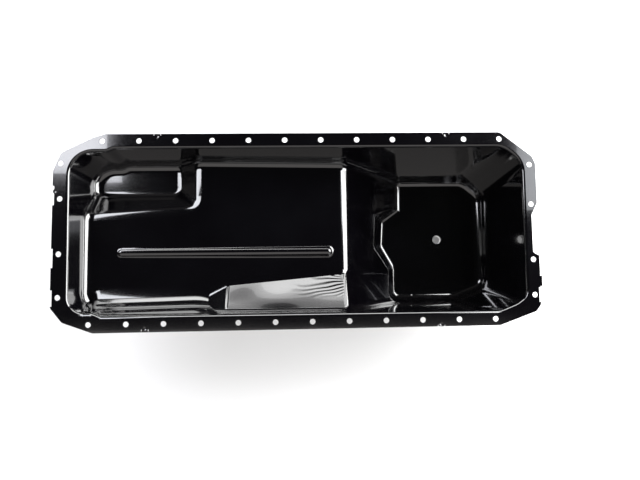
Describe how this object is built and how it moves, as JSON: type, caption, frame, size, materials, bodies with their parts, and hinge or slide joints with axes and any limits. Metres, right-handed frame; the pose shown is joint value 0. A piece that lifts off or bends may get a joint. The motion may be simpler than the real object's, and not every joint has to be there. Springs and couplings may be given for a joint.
{
  "type": "engine oil pan",
  "caption": "Black deep-drawn steel oil pan for a large inline engine, with a shallow trough, a deep sump at one end, a bolted gasket flange and a threaded drain boss.",
  "frame": {"origin": "on the gasket plane of the flange, midway along the far bolt row and midway between the two bolt rows", "axes": "+X along the pan towards the deep sump, +Y across it to the far bolt row, +Z out of the gasket face towards the engine"},
  "size_m": [0.801, 0.325, 0.213],
  "materials": {
    "coated_sheet": "gloss",
    "coated_boss": "gloss"
  },
  "bodies": {
    "root": {"pan_shell": "coated_sheet", "drain_boss": "coated_boss"}
  },
  "joints": []
}
